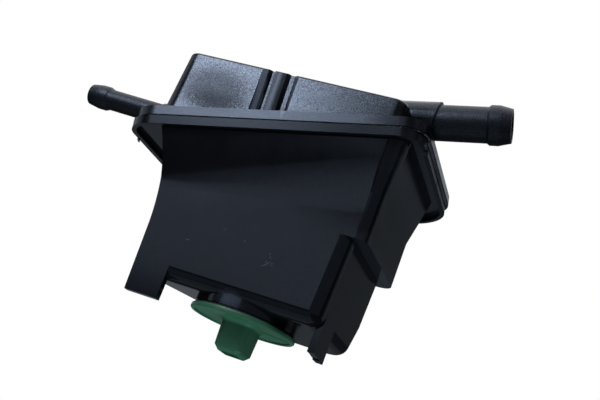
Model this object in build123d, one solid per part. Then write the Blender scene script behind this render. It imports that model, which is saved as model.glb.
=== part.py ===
from build123d import *
import math
import os

# Power steering reservoir: two welded half shells of black plastic, a green screw cap with
# a dipstick, and the loose pieces inside. Millimetres. +Z is the filler neck's axis, +X
# points at the return spigot and -Y at the flat front panel. The origin lies on the neck's
# axis, on the flat top of the tank, midway between the two bracket tongues.

# Walls and draft
wall = 3.0
draft_angle = 2.2
lower_draft_angle = 3.0

# Upper shell: its flat front, sides and back, measured from the neck's axis
front_y = -25.4
back_y = 51.0
left_x = 47.5
right_x = -43.0
flank_start_y = -8.0
flank_end_x = 14.5
front_corner_r = 7.0
back_corner_r = 13.0
wide_corner_r = 10.0
flank_r = 8.0
top_edge_r = 6.0
top_back_y = 44.0
shoulder_z = -17.0
shelf_z = -42.0
shelf_width = 6.3
shelf_back = 2.0
shelf_left = 2.0

# Weld flange, tilted about Y, where the two half shells meet
weld_z = -84.7
tilt_angle = 11.4
flange_left_x = 81.4
flange_right_x = -59.2
flange_front_y = -32.8
flange_back_y = 82.9
flange_front_left_r = 14.0
flange_front_right_r = 13.0
flange_back_r = 22.0
flange_plate = 1.7
flange_lip = 4.2
flange_lip_width = 2.2
lower_flange = 5.2
upper_flange_shift = 1.4
notch_y = -15.0
notch_r = 3.0
weld_gap = 0.7
weld_inset = 0.8

# Flare between the tank wall and the flange
flare_height = 29.0
flare_front = 4.6
flare_left = 13.5
flare_right = 3.0
flare_back = 11.0
flare_corner_r = 10.0

# Bracket tongues beside the neck
tongue_height = 10.0
front_tongue_left_x = 50.0
front_tongue_right_x = 33.5
front_tongue_thickness = 4.0
web_lean = 1.7
web_start_z = -23.0
web_middle_x = 56.4
web_middle_z = -49.0
web_end_x = 65.6
web_end_rise = 12.7
side_tongue_thickness = 3.2
side_tongue_front_y = -17.5
side_tongue_width = 19.0
side_tongue_step = 1.0
side_tongue_step_width = 7.0
side_tongue_bevel = 4.0
side_tongue_foot_z = -9.0

# Lower shell, whose depth is measured on the neck's axis
lower_depth = 24.6
lower_left_x = 66.6
lower_right_x = -45.8
lower_front_y = -29.0
lower_back_y = 68.0
lower_corner_r = 6.0
lower_back_corner_r = 16.0
bottom_edge_r = 1.6

# Two grooves with a ridged rib between them, in the lower shell's front
channel_left_x = 26.3
channel_right_x = 7.6
channel_depth = 2.4
shallow_slope_width = 2.7
shallow_slope_depth = 0.7
steep_slope_width = 1.7
rib_left_x = 19.9
rib_right_x = 14.1
rib_shoulder = 0.35
right_floor_x = 10.4
channel_lean_angle = 3.6

# Suction spigot, parallel to the flange on the -X side
suction_y = -5.4
suction_drop = 15.9
suction_r = 8.5
suction_bore_r = 6.4
suction_boss_r = 9.8
suction_boss_x = -56.0
suction_root_x = -22.0
suction_barb_x = -79.0
suction_barb_rise = 1.2
suction_barb_r = 9.4
suction_land = 4.0
suction_tip_x = -89.8
suction_tip_r = 8.0

# Return spigot, nearly level, on the +X side, below the weld at that end of the tank
return_y = -5.7
return_drop = 7.6
return_fall_angle = 2.0
return_r = 5.3
return_bore_r = 3.6
return_boss_r = 6.0
return_boss_x = 79.0
return_root_x = 61.0
return_stub = 3.5
return_barb_x = 109.6
return_barb_rise = 2.4
return_barb_r = 6.2
return_land = 4.0
return_tip_x = 121.6
return_tip_r = 5.3

# Filler neck
neck_r = 24.2
neck_bore_r = 20.6
neck_height = 2.8
neck_depth = 14.0

# Cap, seal, vent filter and dipstick
cap_r = 25.4
cap_plate = 2.4
cap_rim_width = 2.2
cap_rim_height = 0.8
cap_edge = 0.5
seal_thickness = 1.0
seal_inner_r = 20.8
seal_width = 2.8
skirt_clearance = 0.35
skirt_wall = 1.8
skirt_length = 12.0
grip_width = 15.6
grip_length = 18.0
grip_height = 14.0
grip_corner_r = 3.6
grip_draft_angle = 3.0
grip_edge = 2.2
pocket_width = 8.0
pocket_length = 10.0
pocket_depth = 4.0
pocket_corner_r = 2.4
socket_r = 5.0
socket_wall = 2.0
socket_depth = 9.0
vent_width = 8.0
vent_thickness = 1.6
fit_clearance = 0.05
head_depth = 7.0
rod_r = 2.6
blade_width = 7.0
blade_thickness = 2.4
blade_start_z = -34.0
dipstick_gap = 14.3
mark_height = 1.0
mark_start = 4.0
mark_gap = 14.0
mark_proud = 0.5

# Pieces inside the tank
baffle_x = 36.0
baffle_thickness = 2.0
baffle_height = 24.0
baffle_clearance = 0.3
baffle_window = 12.0
strainer_width = 34.0
strainer_length = 34.0
strainer_gap = 1.5
strainer_height = 9.0
strainer_rail = 3.0
mesh_thickness = 0.8
mesh_columns = 5
mesh_rows = 6
mesh_bar = 1.2
diffuser_wall = 1.5
diffuser_length = 15.0
diffuser_slots = 4
diffuser_slot_width = 3.0
diffuser_slot_length = 6.0

# A stretch along X by on_tilt lays an outline on the tilted plane, so that it keeps its size in
# plan. Boxes that cut a whole half away are tall, and bores run on by the overcut.
tilt = math.radians(tilt_angle)
on_tilt = 1 / math.cos(tilt)
tall = 400.0
overcut = 1.0
stand = (Align.CENTER, Align.CENTER, Align.MIN)
hang = (Align.CENTER, Align.CENTER, Align.MAX)

# Heights that follow from the sizes above
bottom_z = weld_z - lower_depth
tank_height = -bottom_z
floor_z = bottom_z + wall
dipstick_end_z = floor_z + dipstick_gap
web_end_z = weld_z + web_end_rise
return_z = weld_z + lower_left_x * math.tan(tilt) - return_drop
cap_seat_z = neck_height + seal_thickness
cap_top_z = cap_seat_z + cap_plate


def tilted(height):
    """The plane parallel to the weld flange that meets the neck's axis at this height."""
    return Plane(
        origin=(0, 0, height),
        x_dir=(math.cos(tilt), 0, math.sin(tilt)),
        z_dir=(-math.sin(tilt), 0, math.cos(tilt)),
    )


def outline(corners, stretch=1.0):
    """A closed outline from (x, y, corner radius), with x stretched onto a tilted plane."""
    points = [(x * stretch, y) for x, y, r in corners]
    face = make_face(Polyline(*points, close=True))
    for (x, y), (_, _, r) in zip(points, corners):
        corner = face.vertices().sort_by_distance((x, y, 0))[0]
        face = fillet(corner, r)
    return face


def tank_corners(front, back, left, right, flank_y, flank_x, corner_r, back_r):
    """The tank's plan: a rectangle with a slanted flank at its back left corner."""
    return [
        (right, front, corner_r),
        (left, front, corner_r),
        (left, flank_y, flank_r),
        (flank_x, back, back_r),
        (right, back, back_r),
    ]


def above_weld():
    """Everything on the filler side of the weld."""
    return tilted(weld_z) * Box(tall, tall, tall, align=stand)


def drawn_in(height, back):
    """The tank's corners at this height above the shelf, where the draft has narrowed it."""
    draw = (height - shelf_z) * math.tan(math.radians(draft_angle))
    return tank_corners(front_y, back, left_x - draw, right_x + draw, flank_start_y - draw,
                        flank_end_x - draw, front_corner_r, back_corner_r)


def upper_form(inset):
    """The upper shell's body, shrunk by the inset, from the weld to its flat top."""
    narrow = outline(tank_corners(front_y, back_y, left_x, right_x, flank_start_y,
                                  flank_end_x, front_corner_r, back_corner_r))
    shoulder = outline(drawn_in(shoulder_z, back_y))
    crown = outline(drawn_in(0, top_back_y))
    wide_sides = (front_y, back_y + shelf_back, left_x + shelf_left, right_x - shelf_width,
                  flank_start_y, flank_end_x + shelf_left, front_corner_r, wide_corner_r)
    flared_sides = (front_y - flare_front, back_y + shelf_back + flare_back,
                    left_x + shelf_left + flare_left, right_x - shelf_width - flare_right,
                    flank_start_y + flare_back, flank_end_x + shelf_left + flare_left,
                    flare_corner_r, wide_corner_r)
    bend = outline(tank_corners(*wide_sides), on_tilt)
    foot = outline(tank_corners(*flared_sides), on_tilt)
    if inset > 0:
        narrow, shoulder, crown, bend, foot = [
            offset(face, -inset, kind=Kind.INTERSECTION)
            for face in (narrow, shoulder, crown, bend, foot)
        ]
    bend_z = weld_z + flare_height
    top = loft([Pos(0, 0, shelf_z - inset) * narrow, Pos(0, 0, shoulder_z - inset) * shoulder,
                Pos(0, 0, -inset) * crown], ruled=True)
    middle = extrude(tilted(bend_z) * bend, tank_height, dir=(0, 0, 1))
    middle &= Pos(0, 0, shelf_z - inset) * Box(tall, tall, tall, align=hang)
    skirt = loft([tilted(bend_z) * bend, tilted(weld_z) * foot], ruled=True)
    body = top + middle + skirt
    radius = top_edge_r - inset
    edges = body.faces().sort_by(Axis.Z)[-1].edges()
    return fillet(edges, radius)


def flange_outline(inset, shift=0.0):
    """The weld flange's rim, stepped in by the inset and moved along X by the shift."""
    left = flange_left_x + shift - inset
    right = flange_right_x + shift + inset
    return outline([
        (right, flange_front_y + inset, flange_front_right_r - inset),
        (left, flange_front_y + inset, flange_front_left_r - inset),
        (left, flange_back_y - inset, flange_back_r - inset),
        (right, flange_back_y - inset, flange_back_r - inset),
    ], on_tilt)


def drain_notch():
    """Half round notch through the upper flange's lip on the -X side."""
    x = (flange_right_x + upper_flange_shift) * on_tilt
    return tilted(weld_z) * Pos(x, notch_y, flange_plate) * rod_between(
        0, flange_lip, notch_r)


def front_slab():
    """A slab as thick as the front tongue, behind the front panel and the front of the flare."""
    slope = flare_front / flare_height
    bend_z = weld_z + flare_height
    foot_z = weld_z - overcut
    foot_y = front_y - slope * (bend_z - foot_z)
    back = front_tongue_thickness
    side = make_face(Polyline(
        (front_y, tall), (front_y, bend_z), (foot_y, foot_z), (foot_y + back, foot_z),
        (front_y + back, bend_z), (front_y + back, tall), close=True))
    plane = Plane(origin=(0, 0, 0), x_dir=(0, 1, 0), z_dir=(1, 0, 0))
    return extrude(plane * side, tall, dir=(math.cos(tilt), 0, math.sin(tilt)))


def front_tongue():
    """Flat tongue in the plane of the front panel; its foot curves out beside the flare."""
    edge_start = (front_tongue_left_x + web_lean, web_start_z)
    edge_middle = (web_middle_x, web_middle_z)
    edge_end = (web_end_x, web_end_z)
    profile = make_face([
        Polyline((web_end_x, weld_z), (front_tongue_right_x, weld_z),
                 (front_tongue_right_x, tongue_height), (front_tongue_left_x, tongue_height),
                 edge_start),
        ThreePointArc(edge_start, edge_middle, edge_end),
        Line(edge_end, (web_end_x, weld_z)),
    ])
    plane = Plane(origin=(0, front_y, 0), x_dir=(1, 0, 0), z_dir=(0, -1, 0))
    return extrude(plane * profile, 2 * front_tongue_thickness, both=True) & front_slab()


def side_tongue():
    """Stepped tongue in the plane of the -X wall."""
    x = right_x - (shelf_z - side_tongue_foot_z) * math.tan(math.radians(draft_angle))
    foot_z = side_tongue_foot_z
    back = side_tongue_front_y + side_tongue_width
    profile = Polyline(
        (side_tongue_front_y, foot_z),
        (side_tongue_front_y, tongue_height),
        (side_tongue_front_y + side_tongue_bevel, tongue_height),
        (back - side_tongue_step_width, tongue_height + side_tongue_step / 2),
        (back - side_tongue_step_width, tongue_height + side_tongue_step),
        (back, tongue_height + side_tongue_step),
        (back, foot_z),
        close=True,
    )
    plane = Plane(origin=(x, 0, 0), x_dir=(0, 1, 0), z_dir=(1, 0, 0))
    return extrude(plane * make_face(profile), side_tongue_thickness)


def upper_shell():
    flange = tilted(weld_z) * extrude(flange_outline(0, upper_flange_shift), flange_lip)
    tray = tilted(weld_z) * Pos(0, 0, flange_plate) * extrude(
        flange_outline(flange_lip_width, upper_flange_shift), flange_lip)
    body = (flange - tray) + upper_form(0) + front_tongue() + side_tongue()
    body += rod_between(-wall, neck_height, neck_r)
    body -= upper_form(wall)
    body += rod_between(-neck_depth, 0, neck_bore_r + wall)
    body -= rod_between(-neck_depth - overcut, neck_height + overcut, neck_bore_r)
    return (body - drain_notch()) & above_weld()


def spigot(root, barb, rise, barb_r, land, tip, tip_r, tube_r):
    """A barbed spigot along +Z, from its root inside the tank to its tip."""
    half = [
        (0, root), (tube_r, root), (tube_r, barb), (barb_r, barb + rise),
        (barb_r, barb + rise + land), (tip_r, tip), (0, tip),
    ]
    profile = make_face(Polyline(*[(r, 0, z) for r, z in half], close=True))
    return revolve(profile, Axis.Z)


def rod_between(start, end, radius):
    """A round rod along +Z."""
    return Pos(0, 0, start) * Cylinder(radius, end - start, align=stand)


def along_x(x_sign, y, z, slope):
    """A place whose +Z runs along X, tilted with the slope."""
    direction = (x_sign * math.cos(slope), 0, -abs(math.sin(slope)))
    return Plane(origin=(0, y, z), x_dir=(0, 1, 0), z_dir=direction).location


def return_place():
    """The return spigot's axis."""
    return along_x(1, return_y, return_z, math.radians(return_fall_angle))


def lower_form(inset, floor=None):
    """The lower shell's body, shrunk by the inset, from its floor past the weld."""
    rise = inset if floor is None else floor
    corners = [
        (lower_right_x, lower_front_y, lower_corner_r),
        (lower_left_x, lower_front_y, lower_corner_r),
        (lower_left_x, lower_back_y, lower_back_corner_r),
        (lower_right_x, lower_back_y, lower_back_corner_r),
    ]
    face = outline(corners)
    if inset > 0:
        face = offset(face, -inset, kind=Kind.INTERSECTION)
    body = Pos(0, 0, bottom_z + rise) * extrude(face, tank_height, taper=-lower_draft_angle)
    if inset == 0:
        body = fillet(body.faces().sort_by(Axis.Z)[0].edges(), bottom_edge_r)
    return body


def leaning(points):
    """An outline on the lower shell's bottom, drawn up the front face at a slight lean."""
    face = make_face(Polyline(*[(x, lower_front_y + y) for x, y in points], close=True))
    lean = math.tan(math.radians(channel_lean_angle))
    return extrude(Pos(0, 0, bottom_z) * face, tank_height, dir=(-lean, 0, 1))


def channel():
    """What the two grooves cut away."""
    steep_x = channel_left_x - shallow_slope_width
    rib_middle_x = (rib_left_x + rib_right_x) / 2
    outside = -2 * wall
    return leaning([
        (channel_left_x, outside),
        (channel_left_x, 0),
        (steep_x, shallow_slope_depth),
        (steep_x - steep_slope_width, channel_depth),
        (rib_left_x + rib_shoulder, channel_depth),
        (rib_left_x, rib_shoulder),
        (rib_middle_x, 0),
        (rib_right_x, rib_shoulder),
        (rib_right_x - steep_slope_width, channel_depth),
        (right_floor_x, channel_depth),
        (channel_right_x, 0),
        (channel_right_x, outside),
    ])


def channel_backing():
    """The wall that stands behind the grooves, inside the shell."""
    return leaning([
        (channel_left_x + wall, 0),
        (channel_left_x + wall, channel_depth + wall),
        (channel_right_x - wall, channel_depth + wall),
        (channel_right_x - wall, 0),
    ])


def suction_spigot():
    """The wide spigot with its boss, whose end is square to X, and its bore."""
    root = -suction_root_x * on_tilt
    tip = -suction_tip_x * on_tilt
    place = along_x(-1, suction_y, weld_z - suction_drop, tilt)
    tube = place * spigot(root, -suction_barb_x * on_tilt, suction_barb_rise, suction_barb_r,
                          suction_land, tip, suction_tip_r, suction_r)
    boss = place * rod_between(root, tip, suction_boss_r)
    boss &= Pos(suction_boss_x, 0, 0) * Box(
        tall, tall, tall, align=(Align.MIN, Align.CENTER, Align.CENTER))
    return tube + boss, place * rod_between(root, tip + overcut, suction_bore_r)


def return_spigot():
    """The narrow spigot with its boss and its bore."""
    tube = spigot(return_root_x, return_barb_x, return_barb_rise, return_barb_r,
                  return_land, return_tip_x, return_tip_r, return_r)
    boss = rod_between(return_root_x, return_boss_x, return_boss_r)
    bore = rod_between(return_root_x, return_tip_x + overcut, return_bore_r)
    return return_place() * (tube + boss), return_place() * bore


def lower_shell():
    body = lower_form(0)
    body -= channel()
    hollow = lower_form(wall) - channel_backing()
    flange = tilted(weld_z) * extrude(flange_outline(weld_inset), -weld_gap)
    flange += tilted(weld_z - weld_gap) * extrude(flange_outline(0), -(lower_flange - weld_gap))
    suction, suction_bore = suction_spigot()
    back_flow, back_flow_bore = return_spigot()
    body = body + flange + suction - hollow - suction_bore
    body = body + back_flow - back_flow_bore
    return body - above_weld()


def cap_seal():
    return (rod_between(neck_height, cap_seat_z, seal_inner_r + seal_width)
            - rod_between(neck_height, cap_seat_z, seal_inner_r))


def filler_cap():
    skirt_r = neck_bore_r - skirt_clearance
    skirt_end_z = cap_seat_z - skirt_length
    dish_z = cap_top_z - cap_rim_height
    plate = rod_between(cap_seat_z, cap_top_z, cap_r)
    plate = chamfer(plate.edges().filter_by(GeomType.CIRCLE), cap_edge)
    plate -= rod_between(dish_z, cap_top_z + overcut, cap_r - cap_rim_width)
    face = RectangleRounded(grip_width, grip_length, grip_corner_r)
    grip = Pos(0, 0, dish_z) * extrude(
        face, grip_height + cap_rim_height, taper=grip_draft_angle)
    grip = chamfer(grip.faces().sort_by(Axis.Z)[-1].edges(), grip_edge)
    pocket = RectangleRounded(pocket_width, pocket_length, pocket_corner_r)
    grip -= Pos(0, 0, cap_top_z + grip_height - pocket_depth) * extrude(
        pocket, pocket_depth + overcut)
    skirt = (rod_between(skirt_end_z, cap_seat_z, skirt_r)
             - rod_between(skirt_end_z, cap_seat_z, skirt_r - skirt_wall))
    socket = (rod_between(cap_seat_z - socket_depth, cap_seat_z, socket_r + socket_wall)
              - rod_between(cap_seat_z - socket_depth, cap_seat_z, socket_r))
    return plate + grip + skirt + socket


def vent_filter():
    inner_r = socket_r + socket_wall + fit_clearance
    start_z = cap_seat_z - vent_thickness
    return (rod_between(start_z, cap_seat_z, inner_r + vent_width)
            - rod_between(start_z, cap_seat_z, inner_r))


def dipstick():
    socket_end_z = cap_seat_z - socket_depth
    stick = rod_between(socket_end_z, socket_end_z + head_depth, socket_r - fit_clearance)
    stick += rod_between(blade_start_z, socket_end_z, rod_r)
    stick += Pos(0, 0, blade_start_z) * Box(
        blade_width, blade_thickness, blade_start_z - dipstick_end_z, align=hang)
    for level in (0, 1):
        stick += Pos(0, 0, dipstick_end_z + mark_start + level * mark_gap) * Box(
            blade_width + 2 * mark_proud, blade_thickness + 2 * mark_proud, mark_height)
    return stick


def baffle_plate():
    plate = Pos(baffle_x, 0, floor_z) * Box(
        baffle_thickness, tall, baffle_height, align=stand)
    plate = plate & lower_form(wall + baffle_clearance, floor=wall)
    window = Pos(baffle_x, lower_back_y, floor_z) * Box(
        baffle_thickness, 4 * baffle_window, baffle_window, align=stand)
    return plate - window


def strainer_place(height):
    """Where the strainer stands: over the suction bore, clear of the end and front walls."""
    x = lower_right_x + wall + strainer_gap + strainer_width / 2
    y = lower_front_y + wall + strainer_gap + strainer_length / 2
    return Pos(x, y, height)


def strainer_frame():
    ring = Box(strainer_width, strainer_length, strainer_height, align=stand)
    ring -= Box(strainer_width - 2 * strainer_rail, strainer_length - 2 * strainer_rail,
                strainer_height, align=stand)
    return strainer_place(floor_z) * ring


def strainer_mesh():
    sheet = Box(strainer_width, strainer_length, mesh_thickness, align=stand)
    inner_width = strainer_width - 2 * strainer_rail
    inner_length = strainer_length - 2 * strainer_rail
    step_x = inner_width / mesh_columns
    step_y = inner_length / mesh_rows
    holes = GridLocations(step_x, step_y, mesh_columns, mesh_rows) * Box(
        step_x - mesh_bar, step_y - mesh_bar, mesh_thickness, align=stand)
    return strainer_place(floor_z + strainer_height) * (sheet - holes)


def return_diffuser():
    """Slotted cup pushed onto the return spigot's stub inside the tank."""
    inner_r = return_boss_r + fit_clearance
    end_x = return_root_x + return_stub
    start_x = end_x - diffuser_length
    cup = rod_between(start_x, end_x, inner_r + diffuser_wall)
    cup -= rod_between(start_x + diffuser_wall, end_x, inner_r)
    slot = Pos(0, 0, start_x + 2 * diffuser_wall) * Box(
        diffuser_slot_width, 3 * inner_r, diffuser_slot_length, align=stand)
    for turn in range(diffuser_slots // 2):
        cup -= Rot(0, 0, turn * 360 / diffuser_slots) * slot
    return return_place() * cup


os.makedirs("parts", exist_ok=True)
pieces = {
    "upper_shell": upper_shell(),
    "lower_shell": lower_shell(),
    "cap_seal": cap_seal(),
    "filler_cap": filler_cap(),
    "vent_filter": vent_filter(),
    "dipstick": dipstick(),
    "baffle_plate": baffle_plate(),
    "strainer_frame": strainer_frame(),
    "strainer_mesh": strainer_mesh(),
    "return_diffuser": return_diffuser(),
}
for name, piece in pieces.items():
    export_step(piece, f"parts/{name}.step")
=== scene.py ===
import bmesh
import bpy
import math
import random
from mathutils import Matrix, Vector


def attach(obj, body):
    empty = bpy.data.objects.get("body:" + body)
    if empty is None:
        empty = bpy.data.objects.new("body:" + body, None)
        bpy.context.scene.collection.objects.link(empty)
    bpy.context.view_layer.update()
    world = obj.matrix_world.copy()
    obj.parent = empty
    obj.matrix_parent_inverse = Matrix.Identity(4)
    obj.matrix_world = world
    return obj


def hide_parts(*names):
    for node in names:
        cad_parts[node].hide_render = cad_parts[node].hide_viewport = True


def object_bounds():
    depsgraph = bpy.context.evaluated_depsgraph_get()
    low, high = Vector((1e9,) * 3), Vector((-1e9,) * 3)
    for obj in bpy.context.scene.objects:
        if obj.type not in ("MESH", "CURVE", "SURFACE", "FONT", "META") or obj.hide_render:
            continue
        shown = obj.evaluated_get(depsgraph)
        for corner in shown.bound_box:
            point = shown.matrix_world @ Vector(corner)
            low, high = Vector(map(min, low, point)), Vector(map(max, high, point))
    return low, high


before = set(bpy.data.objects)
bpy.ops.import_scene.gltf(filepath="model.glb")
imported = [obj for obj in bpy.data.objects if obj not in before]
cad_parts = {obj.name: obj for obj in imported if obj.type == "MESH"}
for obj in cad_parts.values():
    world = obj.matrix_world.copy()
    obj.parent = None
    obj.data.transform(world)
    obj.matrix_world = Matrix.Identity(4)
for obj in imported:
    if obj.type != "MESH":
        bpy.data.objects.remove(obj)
cad_low, cad_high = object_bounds()
scene = bpy.context.scene
scene.view_settings.view_transform = "Standard"


# Camera. The tank was photographed cap down, from its front panel's side and a little past the
# wide spigot, so the camera is rolled until the neck points down and to the left.
picture_width = 600.0
focal_length = 980.8
camera_place = Vector((-0.1607, -0.4201, 0.0664))
picture_right = Vector((-0.9078, 0.2339, -0.3481))
picture_down = Vector((-0.2508, 0.3625, 0.8976))
look = picture_right.cross(picture_down)
camera = bpy.data.objects.new("camera", bpy.data.cameras.new("camera"))
camera.data.sensor_width = 36.0
camera.data.lens = focal_length / picture_width * camera.data.sensor_width
camera.matrix_world = Matrix.Translation(camera_place) @ Matrix(
    (picture_right, -picture_down, -look)).transposed().to_4x4()
camera.data.clip_start = 0.01
scene.collection.objects.link(camera)
scene.camera = camera


# Floor. A pale sheet of board lies well below the tank, so that the lamps have room between the
# two. It shows white to the camera and in gloss, and takes light as pale board otherwise.
def seen_directly(nodes):
    """The light path, and a socket that is 1 where the camera looks straight at the paper."""
    path = nodes.new("ShaderNodeLightPath")
    either = nodes.new("ShaderNodeMath")
    either.operation = "MAXIMUM"
    nodes.id_data.links.new(path.outputs["Is Camera Ray"], either.inputs[0])
    nodes.id_data.links.new(path.outputs["Is Transmission Ray"], either.inputs[1])
    return path, either.outputs[0]


floor_half = 1.1
floor_place = (0.0, 0.4, -1.0)
floor_mesh = bpy.data.meshes.new("floor")
sheet = bmesh.new()
bmesh.ops.create_grid(sheet, x_segments=1, y_segments=1, size=floor_half)
bmesh.ops.translate(sheet, verts=sheet.verts, vec=floor_place)
sheet.to_mesh(floor_mesh)
sheet.free()
floor = bpy.data.objects.new("floor", floor_mesh)
scene.collection.objects.link(floor)
board = bpy.data.materials.new("pale_board")
board.use_nodes = True
nodes, links = board.node_tree.nodes, board.node_tree.links
nodes.clear()
path, direct = seen_directly(nodes)
with_gloss = nodes.new("ShaderNodeMath")
with_gloss.operation = "MAXIMUM"
links.new(direct, with_gloss.inputs[0])
links.new(path.outputs["Is Glossy Ray"], with_gloss.inputs[1])
paper = nodes.new("ShaderNodeBsdfDiffuse")
paper.inputs["Color"].default_value = (0.8, 0.8, 0.8, 1.0)
white = nodes.new("ShaderNodeEmission")
choose = nodes.new("ShaderNodeMixShader")
links.new(with_gloss.outputs[0], choose.inputs["Fac"])
links.new(paper.outputs[0], choose.inputs[1])
links.new(white.outputs[0], choose.inputs[2])
links.new(choose.outputs[0], nodes.new("ShaderNodeOutputMaterial").inputs["Surface"])
floor.data.materials.append(board)


# Studio. The backdrop is white paper and the room around it is dim, as black satin plastic
# shows it. Soft boxes stand where the plastic mirrors them; the fill lamps stay out of gloss.
room_colour = (0.72, 0.85, 1.0, 1.0)
room_strength = 0.025
lamp_colour = (0.84, 0.92, 1.0)
world = bpy.data.worlds.new("studio")
world.use_nodes = True
scene.world = world
nodes, links = world.node_tree.nodes, world.node_tree.links
nodes.clear()
path, direct = seen_directly(nodes)
room = nodes.new("ShaderNodeBackground")
room.inputs["Color"].default_value = room_colour
room.inputs["Strength"].default_value = room_strength
backdrop = nodes.new("ShaderNodeBackground")
backdrop.inputs["Color"].default_value = (1.0, 1.0, 1.0, 1.0)
choose = nodes.new("ShaderNodeMixShader")
links.new(direct, choose.inputs["Fac"])
links.new(room.outputs[0], choose.inputs[1])
links.new(backdrop.outputs[0], choose.inputs[2])
links.new(choose.outputs[0], nodes.new("ShaderNodeOutputWorld").inputs["Surface"])


def soft_box(name, place, width, height, glow, in_gloss=True):
    """A rectangular lamp that faces the tank; its glow is what a mirror would show of it."""
    lamp = bpy.data.lights.new(name, "AREA")
    lamp.shape = "RECTANGLE"
    lamp.size = width
    lamp.size_y = height
    lamp.energy = glow * math.pi * width * height
    lamp.color = lamp_colour
    box = bpy.data.objects.new(name, lamp)
    box.location = place
    towards = (cad_low + cad_high) / 2 - Vector(place)
    box.rotation_euler = towards.to_track_quat("-Z", "Y").to_euler()
    box.visible_camera = False
    box.visible_glossy = in_gloss
    scene.collection.objects.link(box)


# Each box: its name, place, width, height and glow.
soft_box("front_box", (0.50, -0.85, -0.62), 0.30, 0.46, 14.0)
soft_box("side_front_box", (0.0, -1.0, -0.58), 0.50, 0.34, 1.6)
soft_box("left_box", (1.1, 0.0, -0.42), 1.0, 0.6, 0.55)
soft_box("right_box", (-0.75, -0.8, -0.35), 1.8, 1.2, 0.12)
soft_box("tray_box", (0.45, 1.1, 0.5), 0.4, 0.3, 0.14)
soft_box("ledge_box", (0.1, 1.15, 0.3), 0.5, 0.4, 0.045)
soft_box("edge_box", (0.3, -1.0, 0.45), 1.3, 0.7, 0.12)
soft_box("rear_left_box", (0.95, 0.95, -0.25), 0.6, 0.5, 1.3)
soft_box("rear_right_box", (-1.05, 0.80, -0.15), 0.9, 0.8, 0.16)
soft_box("panel_box", (0.39, -0.95, -0.235), 0.8, 0.19, 0.66)
soft_box("base_box", (0.25, 0.15, -0.85), 1.1, 0.9, 0.35)
soft_box("strip_box", (-0.12, 1.15, -0.58), 0.5, 0.30, 0.46)
soft_box("side_box", (-0.50, 1.05, -0.34), 0.6, 0.5, 0.041)
soft_box("top_box", (0.1, -0.2, 1.0), 1.4, 1.3, 0.2)
soft_box("back_box", (0.54, 0.97, 0.12), 0.28, 0.24, 0.17)
soft_box("fill_cap", (-0.3, -0.2, 1.15), 1.0, 1.0, 4.6, in_gloss=False)
soft_box("fill_low", (0.0, -0.7, -0.95), 1.0, 0.8, 1.2, in_gloss=False)


# Lower half shell. It is injection moulded from black glass filled nylon, in one piece with its
# flange and both barbed spigots. Its moulded edges are slightly round, and the mould's satin
# grain shows as fine speckle with cloudy patches where the skin is more or less glossy.
shell_round = 0.0004
merge_distance = 2e-6
flat_turn = math.radians(0.6)


def merged_copy(node, name, body, edge_width, flat_angle=30.0, bends=()):
    """A closed copy of a CAD node with small rounds on its edges, which stands for the node."""
    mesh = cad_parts[node].data.copy()
    mesh.name = name
    skin = bmesh.new()
    skin.from_mesh(mesh)
    bmesh.ops.remove_doubles(skin, verts=skin.verts, dist=merge_distance)
    bmesh.ops.dissolve_limit(skin, angle_limit=flat_turn, verts=skin.verts, edges=skin.edges)
    for place, across in bends:
        every = skin.verts[:] + skin.edges[:] + skin.faces[:]
        bmesh.ops.bisect_plane(skin, geom=every, dist=1e-6, plane_co=place, plane_no=across)
    skin.to_mesh(mesh)
    skin.free()
    mesh.attributes.remove(mesh.attributes["custom_normal"])
    mesh.materials.clear()
    mesh.set_sharp_from_angle(angle=math.radians(flat_angle))
    piece = bpy.data.objects.new(name, mesh)
    scene.collection.objects.link(piece)
    if edge_width > 0:
        rounds = piece.modifiers.new("edge rounds", "BEVEL")
        rounds.width = edge_width
        rounds.segments = 2
        rounds.limit_method = "ANGLE"
        rounds.angle_limit = math.radians(flat_angle)
    flats = piece.modifiers.new("flat faces stay flat", "WEIGHTED_NORMAL")
    flats.keep_sharp = True
    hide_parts(node)
    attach(piece, body)
    return piece


def speckle(nodes, links, place, scale, detail=2.0, roughness=0.6):
    """Cloudy noise from 0 to 1 in the piece's own coordinates."""
    noise = nodes.new("ShaderNodeTexNoise")
    noise.inputs["Scale"].default_value = scale
    noise.inputs["Detail"].default_value = detail
    noise.inputs["Roughness"].default_value = roughness
    links.new(place, noise.inputs["Vector"])
    return noise.outputs["Fac"]


def spread(nodes, links, value, low, high, to_low, to_high):
    """A value stretched from one range to another and held at its ends."""
    ranged = nodes.new("ShaderNodeMapRange")
    ranged.inputs["From Min"].default_value = low
    ranged.inputs["From Max"].default_value = high
    ranged.inputs["To Min"].default_value = to_low
    ranged.inputs["To Max"].default_value = to_high
    links.new(value, ranged.inputs["Value"])
    return ranged.outputs["Result"]


# Sockets of a Mix node for colours and for numbers: the first value, the second and the result.
colour_mix = (6, 7, 2)
number_mix = (2, 3, 0)
sparkle_scale = 1900.0


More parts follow.
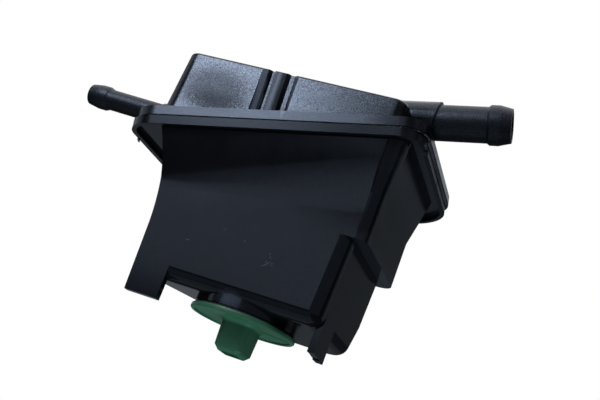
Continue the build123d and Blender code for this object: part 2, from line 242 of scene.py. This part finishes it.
def moulded(name, dark, light, gloss_low, gloss_high, grain_depth, grain_scale=2400.0,
            cloud_scale=55.0, sheen=(1.0, 1.0, 1.0), sparkle=0.0):
    """Moulded plastic: cloudy colour and gloss, with fine spark-eroded grain."""
    material = bpy.data.materials.new(name)
    material.use_nodes = True
    nodes, links = material.node_tree.nodes, material.node_tree.links
    skin = nodes["Principled BSDF"]
    skin.inputs["Specular Tint"].default_value = (*sheen, 1.0)
    place = nodes.new("ShaderNodeTexCoord").outputs["Object"]
    clouds = speckle(nodes, links, place, cloud_scale, detail=5.0)
    first, second, result = colour_mix
    mix = nodes.new("ShaderNodeMix")
    mix.data_type = "RGBA"
    mix.inputs[first].default_value = (*dark, 1.0)
    mix.inputs[second].default_value = (*light, 1.0)
    links.new(spread(nodes, links, clouds, 0.35, 0.65, 0.0, 1.0), mix.inputs[0])
    links.new(mix.outputs[result], skin.inputs["Base Color"])
    links.new(spread(nodes, links, clouds, 0.3, 0.7, gloss_low, gloss_high),
              skin.inputs["Roughness"])
    grain = speckle(nodes, links, place, grain_scale)
    bump = nodes.new("ShaderNodeBump")
    bump.inputs["Strength"].default_value = 0.5
    bump.inputs["Distance"].default_value = grain_depth
    links.new(grain, bump.inputs["Height"])
    links.new(bump.outputs["Normal"], skin.inputs["Normal"])
    if sparkle > 0:
        points = speckle(nodes, links, place, sparkle_scale, detail=3.0, roughness=0.7)
        links.new(spread(nodes, links, points, 0.42, 0.58, 0.5 - sparkle, 0.5 + sparkle),
                  skin.inputs["Specular IOR Level"])
    return material


def spot(material, centre, radii, ragged, softness=0.2, rag_scale=260.0, strength=1.0):
    """A ragged oval mask in the piece's own coordinates: its strength inside, 0 outside."""
    nodes, links = material.node_tree.nodes, material.node_tree.links
    place = nodes.new("ShaderNodeTexCoord").outputs["Object"]
    shift = nodes.new("ShaderNodeVectorMath")
    shift.operation = "SUBTRACT"
    shift.inputs[1].default_value = centre
    links.new(place, shift.inputs[0])
    squeeze = nodes.new("ShaderNodeVectorMath")
    squeeze.operation = "DIVIDE"
    squeeze.inputs[1].default_value = radii
    links.new(shift.outputs[0], squeeze.inputs[0])
    reach = nodes.new("ShaderNodeVectorMath")
    reach.operation = "LENGTH"
    links.new(squeeze.outputs[0], reach.inputs[0])
    edge = nodes.new("ShaderNodeMath")
    edge.operation = "ADD"
    links.new(reach.outputs["Value"], edge.inputs[0])
    rags = speckle(nodes, links, place, rag_scale, detail=6.0, roughness=0.75)
    links.new(spread(nodes, links, rags, 0.3, 0.7, -ragged, ragged), edge.inputs[1])
    inner, outer = 1.0 - softness, 1.0 + softness
    return spread(nodes, links, edge.outputs[0], inner, outer, strength, 0.0)


def vary(material, socket, mask, value):
    """Move one of the shader's inputs to another value where the mask is 1."""
    nodes, links = material.node_tree.nodes, material.node_tree.links
    target = nodes["Principled BSDF"].inputs[socket]
    mix = nodes.new("ShaderNodeMix")
    coloured = target.type == "RGBA"
    mix.data_type = "RGBA" if coloured else "FLOAT"
    first, second, result = colour_mix if coloured else number_mix
    if target.is_linked:
        links.new(target.links[0].from_socket, mix.inputs[first])
    else:
        mix.inputs[first].default_value = target.default_value
    mix.inputs[second].default_value = (*value, 1.0) if coloured else value
    links.new(mask, mix.inputs[0])
    links.new(mix.outputs[result], target)


nylon_dark = (0.0024, 0.0026, 0.0032)
nylon_light = (0.0034, 0.0037, 0.0045)
nylon_sheen = (0.70, 0.79, 1.0)
nylon_grain = 0.000009


def black_nylon(name, gloss_low=0.20, gloss_high=0.27, sparkle=0.22):
    """Black glass filled nylon, which mirrors the studio with a cold tint."""
    return moulded(name, nylon_dark, nylon_light, gloss_low, gloss_high, nylon_grain,
                   sheen=nylon_sheen, sparkle=sparkle)


def dull_corner(material):
    """The flange's front -X corner, whose skin hardly mirrors anything."""
    corner = spot(material, (-0.056, -0.033, -0.096), (0.019, 0.014, 0.014), ragged=0.2,
                  softness=0.35)
    vary(material, "Specular IOR Level", corner, 0.25)


lower_nylon = black_nylon("lower_nylon")

# A dull patch and a darker stain lie on the front face beside the flange.
face_y = -0.030
mark_depth = 0.006
patch = spot(lower_nylon, (0.0450, face_y, -0.0915), (0.0170, mark_depth, 0.0115), ragged=0.5,
             softness=0.3, rag_scale=1500.0, strength=0.68)
vary(lower_nylon, "Specular IOR Level", patch, 0.08)
stain = spot(lower_nylon, (0.0415, face_y, -0.0860), (0.0140, mark_depth, 0.0055), ragged=0.8,
             softness=0.5, rag_scale=1500.0, strength=0.7)
vary(lower_nylon, "Specular IOR Level", stain, 0.05)

# The rib between the grooves is duller than the face, and the grooves' outer slopes are painted
# lighter, a painted highlight that stands in for light the slopes catch.
rib_places = ((0.0180, -0.1070), (0.0168, -0.0990), (0.0157, -0.0912))
for aside, width, socket, value in (
        (0.0, 0.0045, "Specular IOR Level", 0.25),
        (0.0070, 0.0016, "Base Color", (0.045, 0.052, 0.068)),
        (-0.0088, 0.0013, "Base Color", (0.070, 0.080, 0.100))):
    for x, z in rib_places:
        stripe = spot(lower_nylon, (x + aside, face_y, z), (width, mark_depth, 0.0064),
                      ragged=0.1)
        vary(lower_nylon, socket, stripe, value)

# The flange's front is rougher than the face, and the spigots are rougher still.
rim_place = (0.01, -0.0362, -0.083)
rim_radii = (0.3, 0.0048, 0.3)
rim_rough = spot(lower_nylon, rim_place, rim_radii, ragged=0.05)
vary(lower_nylon, "Roughness", rim_rough, 0.30)
rim_gloss = spot(lower_nylon, rim_place, rim_radii, ragged=0.05, strength=0.6)
vary(lower_nylon, "Specular IOR Level", rim_gloss, 0.80)
dull_corner(lower_nylon)
for centre, radii in (((-0.075, -0.0054, -0.115), (0.022, 0.02, 0.02)),
                      ((0.100, -0.0057, -0.081), (0.030, 0.02, 0.02))):
    tube = spot(lower_nylon, centre, radii, ragged=0.1)
    vary(lower_nylon, "Roughness", tube, 0.42)
lower = merged_copy("lower_shell", "lower_tank", "tank", shell_round)
lower.data.materials.append(lower_nylon)


# Baffle. A plate moulded from plain black plastic stands across the lower half and calms the
# fluid, which passes through its one window.
inner_round = 0.0002
plain_black = moulded("plain_black", (0.012, 0.012, 0.013), (0.017, 0.017, 0.018), 0.4, 0.5,
                      0.00001)
baffle = merged_copy("baffle_plate", "baffle", "tank", inner_round)
baffle.data.materials.append(plain_black)


# Strainer. A coarse mesh of natural nylon is moulded onto a plain black frame, which stands on
# the floor of the lower half over the suction bore.
natural_nylon = moulded("natural_nylon", (0.55, 0.54, 0.49), (0.66, 0.65, 0.6), 0.5, 0.6,
                        0.00001)
strainer_rim = merged_copy("strainer_frame", "strainer_rim", "tank", inner_round)
strainer_rim.data.materials.append(plain_black)
screen = merged_copy("strainer_mesh", "strainer_screen", "tank", 0.0)
screen.data.materials.append(natural_nylon)


# Return diffuser. A slotted cup of plain black plastic is pushed onto the return spigot's stub,
# so that the returning fluid does not froth.
diffuser = merged_copy("return_diffuser", "diffuser", "tank", inner_round)
diffuser.data.materials.append(plain_black)


# Upper half shell. It is moulded from the same nylon, in one piece with its neck, the bracket
# tongues and a tilted flange, and is hot plate welded to the lower half. Its front bends softly
# from the panel into the flare above the flange.
tilt = math.radians(11.4)
flange_up = Vector((-math.sin(tilt), 0.0, math.cos(tilt)))
bend_place = Vector((0.0, 0.0, -0.0557))
flare_reach = 0.016
panel_reach = 0.011
shelf_low = (-0.0500, -0.0260, -0.0423)
shelf_high = (-0.0445, 0.0530, -0.0417)
shelf_round = 0.0030


def round_off(piece, low, high, width):
    """Round the edges of a piece that lie inside a box."""
    skin = bmesh.new()
    skin.from_mesh(piece.data)
    inside = [edge for edge in skin.edges if all(
        low[i] < vert.co[i] < high[i] for vert in edge.verts for i in range(3))]
    bmesh.ops.bevel(skin, geom=inside, offset=width, segments=5, profile=0.5, affect="EDGES",
                    clamp_overlap=True, material=-1)
    skin.to_mesh(piece.data)
    skin.free()


upper_nylon = black_nylon("upper_nylon", gloss_low=0.12, gloss_high=0.15, sparkle=0.08)
rim_front = spot(upper_nylon, rim_place, rim_radii, ragged=0.05)
vary(upper_nylon, "Roughness", rim_front, 0.25)
vary(upper_nylon, "Specular IOR Level", rim_front, 0.19)
rim_side = spot(upper_nylon, (-0.0590, 0.03, -0.094), (0.003, 0.2, 0.2), ragged=0.05)
vary(upper_nylon, "Roughness", rim_side, 0.5)
vary(upper_nylon, "Specular IOR Level", rim_side, 0.9)
dull_corner(upper_nylon)

# A painted highlight lies on the neck's root where the ring mirrors a lamp; the shelf is painted
# lighter as painted light where it catches light, and a patch above the flange's -X side is
# painted lighter too.
# Painted highlight: lighter base colour on the neck's outer ring.
neck_painted_highlight = spot(upper_nylon, (0.0010, -0.0240, 0.0006), (0.0046, 0.006, 0.0030), ragged=0.4,
             softness=0.7, rag_scale=900.0)
vary(upper_nylon, "Base Color", neck_painted_highlight, (0.030, 0.036, 0.050))
# Lighter base colour: painted light on the shelf, and a patch painted lighter above the flange's
# -X side.
for centre, radii in (((-0.0465, 0.015, -0.0425), (0.005, 0.05, 0.004)),
                      ((-0.0535, 0.020, -0.0820), (0.006, 0.06, 0.016))):
    painted_lighter_patch = spot(upper_nylon, centre, radii, ragged=0.2, softness=0.4)
    vary(upper_nylon, "Base Color", painted_lighter_patch, (0.011, 0.0125, 0.0155))
upper = merged_copy("upper_shell", "upper_tank", "tank", shell_round,
                    bends=((bend_place - flare_reach * flange_up, flange_up),
                           (bend_place + panel_reach * flange_up, flange_up)))
upper.data.materials.append(upper_nylon)
round_off(upper, shelf_low, shelf_high, shelf_round)


# Weld line. Hot plate welding squeezes a thin uneven bead of melt out between the flanges, with
# pale flecks where it was rubbed and two small nubs of flash at the return spigot's corner.
weld_z = -0.0847
rim_left = 0.0814
rim_right = -0.0592
rim_front_y = -0.0328
rim_back_y = 0.0829
front_right_radius = 0.013
front_left_radius = 0.014
back_radius = 0.022
corner_steps = 8


def new_piece(name, made, body, material):
    """A finished mesh that rides on one of the moving bodies."""
    bmesh.ops.recalc_face_normals(made, faces=made.faces)
    mesh = bpy.data.meshes.new(name)
    made.to_mesh(mesh)
    made.free()
    mesh.materials.append(material)
    piece = bpy.data.objects.new(name, mesh)
    scene.collection.objects.link(piece)
    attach(piece, body)
    return piece


def tube_along(made, points, radii, sides, closed):
    """A tube of rings of this many sides about a line of points."""
    rings = []
    count = len(points)
    for i, (point, radius) in enumerate(zip(points, radii)):
        before = points[i - 1] if closed or i > 0 else point
        after = points[(i + 1) % count] if closed or i < count - 1 else point
        ahead = (after - before).normalized()
        out = ahead.cross(flange_up).normalized()
        up = out.cross(ahead)
        turned = Matrix((-up, out, ahead)).transposed().to_4x4()
        at_end = not closed and i in (0, count - 1)
        ring = bmesh.ops.create_circle(made, cap_ends=at_end, segments=sides, radius=radius,
                                       matrix=Matrix.Translation(point) @ turned)
        rings.append(list({edge for vert in ring["verts"] for edge in vert.link_edges}))
    pairs = list(zip(rings, rings[1:]))
    if closed:
        pairs.append((rings[-1], rings[0]))
    for one, two in pairs:
        bmesh.ops.bridge_loops(made, edges=one + two)


def rim_points(inset, height, step):
    """Points along the flange's rim, stepped in and raised from the weld plane."""
    left, right = rim_left - inset, rim_right + inset
    front, back = rim_front_y + inset, rim_back_y - inset
    corners = ((right, front, front_right_radius, 180), (left, front, front_left_radius, 270),
               (left, back, back_radius, 0), (right, back, back_radius, 90))
    path = []
    for x, y, radius, start in corners:
        r = radius - inset
        cx = x + r if start in (180, 90) else x - r
        cy = y + r if start in (180, 270) else y - r
        for i in range(corner_steps + 1):
            angle = math.radians(start + 90 * i / corner_steps)
            path.append((cx + r * math.cos(angle), cy + r * math.sin(angle)))
    points = []
    for (ax, ay), (bx, by) in zip(path, path[1:] + path[:1]):
        pieces = max(1, round(math.hypot(bx - ax, by - ay) / step))
        for i in range(pieces):
            x = ax + (bx - ax) * i / pieces
            y = ay + (by - ay) * i / pieces
            points.append(Vector((x, y, weld_z + x * math.tan(tilt))) + height * flange_up)
    return points


chance = random.Random(7)
bead_wander = 0.00008
thick_bead_x = -0.0575
bead = bmesh.new()
bead_line = rim_points(0.00045, -0.00035, 0.0016)
bead_line = [p + Vector((0, 0, chance.uniform(-bead_wander, bead_wander))) for p in bead_line]
bead_sizes = [chance.uniform(0.00038, 0.00048) if p.x < thick_bead_x else
              chance.uniform(0.00012, 0.00032) for p in bead_line]
tube_along(bead, bead_line, bead_sizes, 6, True)
melt = moulded("weld_melt", (0.006, 0.0065, 0.008), (0.035, 0.04, 0.05), 0.25, 0.5, 0.00002,
               grain_scale=3000.0, cloud_scale=900.0)
new_piece("weld_bead", bead, "tank", melt)

# Along the -X side a bead lies on the ledge at the upper flange's foot; its pale colour is a
# painted highlight, a light line laid over the shaded gap between the flanges.
side_bead_start = Vector((-0.05835, -0.018, -0.09625))
side_bead_step = 0.002
side_bead_points = 40
side_bead = bmesh.new()
side_line = [side_bead_start + Vector((0, side_bead_step * i, 0))
             for i in range(side_bead_points)]
side_sizes = [chance.uniform(0.00045, 0.00058) for p in side_line]
tube_along(side_bead, side_line, side_sizes, 8, False)
side_melt_painted_highlight = moulded("side_melt_painted_highlight", (0.020, 0.022, 0.028), (0.055, 0.060, 0.072), 0.4, 0.6, 0.00001)
new_piece("side_weld_bead_and_highlight", side_bead, "tank", side_melt_painted_highlight)

fleck_share = 0.16
fleck_back_y = -0.02
fleck_point = 0.00001
along_rim = Vector((math.cos(tilt), 0, math.sin(tilt)))
flecks = bmesh.new()
for point in rim_points(0.0001, -0.00005, 0.0009):
    if point.y > fleck_back_y or chance.random() > fleck_share:
        continue
    length = chance.uniform(0.0002, 0.0007)
    tube_along(flecks, [point - length * along_rim, point, point + length * along_rim],
               [fleck_point, chance.uniform(0.00005, 0.00012), fleck_point], 5, False)
pale = moulded("pale_rub", (0.16, 0.17, 0.19), (0.34, 0.36, 0.40), 0.5, 0.7, 0.00001)
new_piece("weld_flecks", flecks, "tank", pale)

flash = bmesh.new()
for start, end, size in (
        (Vector((0.0820, -0.0130, -0.0639)), Vector((0.0826, -0.0098, -0.0633)), 0.0007),
        (Vector((0.0800, -0.0240, -0.0690)), Vector((0.0806, -0.0232, -0.0686)), 0.0005)):
    middle = (start + end) / 2 + Vector((0, 0, 0.0002))
    tube_along(flash, [start, middle, end], [size, 0.8 * size, 0.3 * size], 7, False)
new_piece("flash_nubs", flash, "tank", melt)


# Mould marks. The flange's -X rim carries two short slanted slots from the mould, and the flat
# top beside the neck a shallow round mark from an ejector pin.
# Neither is cut: thin dark tubes and a dark disc of painted shade stand in for the shade in
# these hollows.
shade = moulded("slot_shade", (0.0015, 0.0015, 0.002), (0.002, 0.002, 0.0025), 0.7, 0.9, 0.00001)
slots = bmesh.new()
for start, end in ((Vector((-0.0590, 0.0056, -0.0969)), Vector((-0.0584, 0.0050, -0.0998))),
                   (Vector((-0.0584, 0.0245, -0.0923)), Vector((-0.0577, 0.0247, -0.0960)))):
    tube_along(slots, [start, (start + end) / 2, end], [0.0003, 0.0004, 0.0003], 6, False)
new_piece("rim_slots", slots, "tank", shade)

pin_place = (0.0375, -0.0082, 0.00002)
pin = bmesh.new()
bmesh.ops.create_circle(pin, cap_ends=True, segments=24, radius=0.0008)
bmesh.ops.translate(pin, verts=pin.verts, vec=pin_place)
bmesh.ops.inset_region(pin, faces=pin.faces[:], thickness=0.0002, depth=-0.00001)
new_piece("pin_mark", pin, "tank", shade)


# Scratches. Handling has left a few pale scratches on the front panel, the longest of them in a
# bunch below the neck.
panel_y = -0.0254
scratch_rise = 0.00003
# A sliver's rim, in shares of its half length and half width.
sliver = ((-1, 0), (-0.3, 1), (0.4, 0.7), (1, 0), (0.3, -1), (-0.5, -0.6))


def scratch(made, x, z, length, width, angle):
    """A thin tapered sliver that lies on the front panel."""
    along = length / 2 * Vector((math.cos(angle), 0, math.sin(angle)))
    across = width / 2 * Vector((-math.sin(angle), 0, math.cos(angle)))
    middle = Vector((x, panel_y, z))
    rim = [made.verts.new(middle + a * along + b * across) for a, b in sliver]
    crest = bmesh.ops.poke(made, faces=[made.faces.new(rim)])["verts"][0]
    crest.co = middle - Vector((0, scratch_rise, 0))


marks = bmesh.new()
for x, z, length, width, angle in (
        (-0.0089, -0.0188, 0.0030, 0.00030, 0.75), (-0.0104, -0.0200, 0.0032, 0.00034, 0.80),
        (-0.0122, -0.0203, 0.0022, 0.00028, 0.85), (-0.0093, -0.0205, 0.0018, 0.00022, 0.60),
        (-0.0126, -0.0194, 0.0014, 0.00020, 1.0), (-0.0095, -0.0243, 0.0015, 0.00030, 1.3),
        (-0.0104, -0.0229, 0.0009, 0.00022, 1.2), (0.0037, -0.0267, 0.0014, 0.00026, 1.1),
        (0.0149, -0.0294, 0.0012, 0.00026, 0.4), (0.0301, -0.0198, 0.0022, 0.00026, 0.1),
        (-0.0067, -0.0425, 0.0009, 0.00018, 0.2), (0.0020, -0.0330, 0.0008, 0.00014, 0.9)):
    scratch(marks, x, z, length, width, angle)
rubbed = moulded("rubbed_nylon", (0.035, 0.04, 0.048), (0.085, 0.095, 0.11), 0.5, 0.7, 0.00001)
new_piece("panel_scratches", marks, "tank", rubbed)


# Cap. A green nylon screw cap with a wing grip, moulded in one piece with its threaded skirt.
# A soft fillet joins the grip to the disc and a low rib runs from the grip to the rim.
green_nylon = moulded("green_nylon", (0.024, 0.094, 0.052), (0.030, 0.112, 0.062), 0.34, 0.44,
                      0.00001)
cap = merged_copy("filler_cap", "screw_cap", "cap", 0.0005, flat_angle=50.0)
cap.data.materials.append(green_nylon)

disc_z = 0.0054
grip_half = Vector((0.0078, 0.0090, 0.0))
grip_corner = 0.0036
fillet = 0.0024
fillet_steps = 6
fillet_sink = 0.0002


def grip_loop(made, outset, height, filled):
    """A rounded rectangle about the grip's foot, as a loop of edges."""
    square = bmesh.ops.create_grid(made, x_segments=1, y_segments=1, size=1.0)["verts"]
    bmesh.ops.scale(made, verts=square, vec=(grip_half.x + outset, grip_half.y + outset, 1.0))
    bmesh.ops.translate(made, verts=square, vec=(0.0, 0.0, height))
    verts = bmesh.ops.bevel(made, geom=square, offset=grip_corner + outset, profile=0.5,
                            segments=fillet_steps, affect="VERTICES", material=-1)["verts"]
    if not filled:
        bmesh.ops.delete(made, geom=[verts[0].link_faces[0]], context="FACES_ONLY")
    return list({edge for vert in verts for edge in vert.link_edges})


foot = bmesh.new()
loops = []
for i in range(fillet_steps + 1):
    turn = math.radians(90 * i / fillet_steps)
    loops.append(grip_loop(foot, fillet * (1 - math.sin(turn)) - fillet_sink,
                           disc_z + fillet * (1 - math.cos(turn)), i in (0, fillet_steps)))
for one, two in zip(loops, loops[1:]):
    bmesh.ops.bridge_loops(foot, edges=one + two)
for face in foot.faces:
    face.smooth = True
root = new_piece("grip_root", foot, "cap", green_nylon)
root.data.set_sharp_from_angle(angle=math.radians(40))

rib_start = Vector((-0.0072, 0.0009, disc_z))
rib_end = Vector((-0.0222, 0.0072, disc_z))
rib_sizes = (0.0006, 0.0006, 0.0006, 0.0006, 0.0006, 0.0005, 0.0003)
rib = bmesh.new()
rib_line = [rib_start.lerp(rib_end, i / (len(rib_sizes) - 1)) for i in range(len(rib_sizes))]
tube_along(rib, rib_line, rib_sizes, 8, False)
new_piece("disc_rib", rib, "cap", green_nylon)


# Vent filter. A ring of pressed white felt inside the cap lets air in and keeps dust out of the
# tank.
felt = moulded("white_felt", (0.62, 0.61, 0.57), (0.74, 0.73, 0.69), 0.85, 0.95, 0.0002,
               grain_scale=2600.0, cloud_scale=300.0)
vent = merged_copy("vent_filter", "vent_felt", "cap", 0.0)
vent.data.materials.append(felt)


# Dipstick. A blade moulded from black nylon, with two raised level marks, is snapped into the
# socket under the cap.
stick_nylon = black_nylon("stick_nylon")
stick = merged_copy("dipstick", "level_stick", "stick", 0.0002)
stick.data.materials.append(stick_nylon)


# Seal. A flat ring punched from black nitrile rubber is clamped between the cap and the neck's
# rim.
rubber = moulded("black_rubber", (0.008, 0.008, 0.008), (0.014, 0.014, 0.013), 0.6, 0.75,
                 0.00002)
seal = merged_copy("cap_seal", "neck_seal", "seal", 0.0001)
seal.data.materials.append(rubber)
